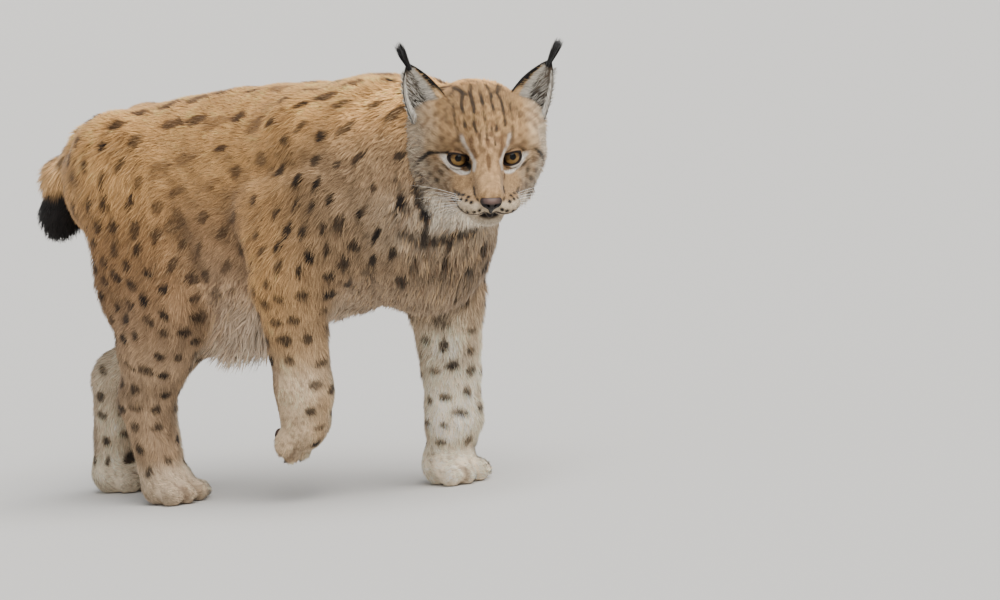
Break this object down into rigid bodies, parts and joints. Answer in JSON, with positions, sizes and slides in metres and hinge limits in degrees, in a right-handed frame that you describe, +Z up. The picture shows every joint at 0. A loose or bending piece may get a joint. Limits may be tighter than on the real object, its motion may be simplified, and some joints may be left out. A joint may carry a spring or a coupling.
{
  "type": "eurasian lynx",
  "caption": "Life-size still model of a Eurasian lynx walking slowly with one forepaw lifted, head turned to its right.",
  "frame": {"origin": "centre of the bounding box's bottom, on the floor that the paws stand on", "axes": "+X the way the lynx walks, +Y to its left, +Z up"},
  "size_m": [0.9592, 0.2618, 0.6381],
  "materials": {
    "fur_back": "tawny short coat with dark spots",
    "fur_head": "tawny and white short coat, pale ruff",
    "fur_leg": "pale cream coat with dark spots",
    "fur_tail": "tawny coat with a black end",
    "fur_ear": "grey back, pale inside, black rim and tuft",
    "nose_skin": "bare moist skin",
    "eye_amber": "clear and wet"
  },
  "bodies": {
    "root": {"ear_left": "fur_ear", "ear_right": "fur_ear", "eye_left": "eye_amber", "eye_right": "eye_amber", "foreleg_left": "fur_leg", "foreleg_right": "fur_leg", "forepaw_left": "fur_leg", "forepaw_right": "fur_leg", "head": "fur_head", "hindleg_left": "fur_leg", "hindleg_right": "fur_leg", "hindpaw_left": "fur_leg", "hindpaw_right": "fur_leg", "neck": "fur_back", "nose": "nose_skin", "tail": "fur_tail", "torso": "fur_back"}
  },
  "joints": []
}
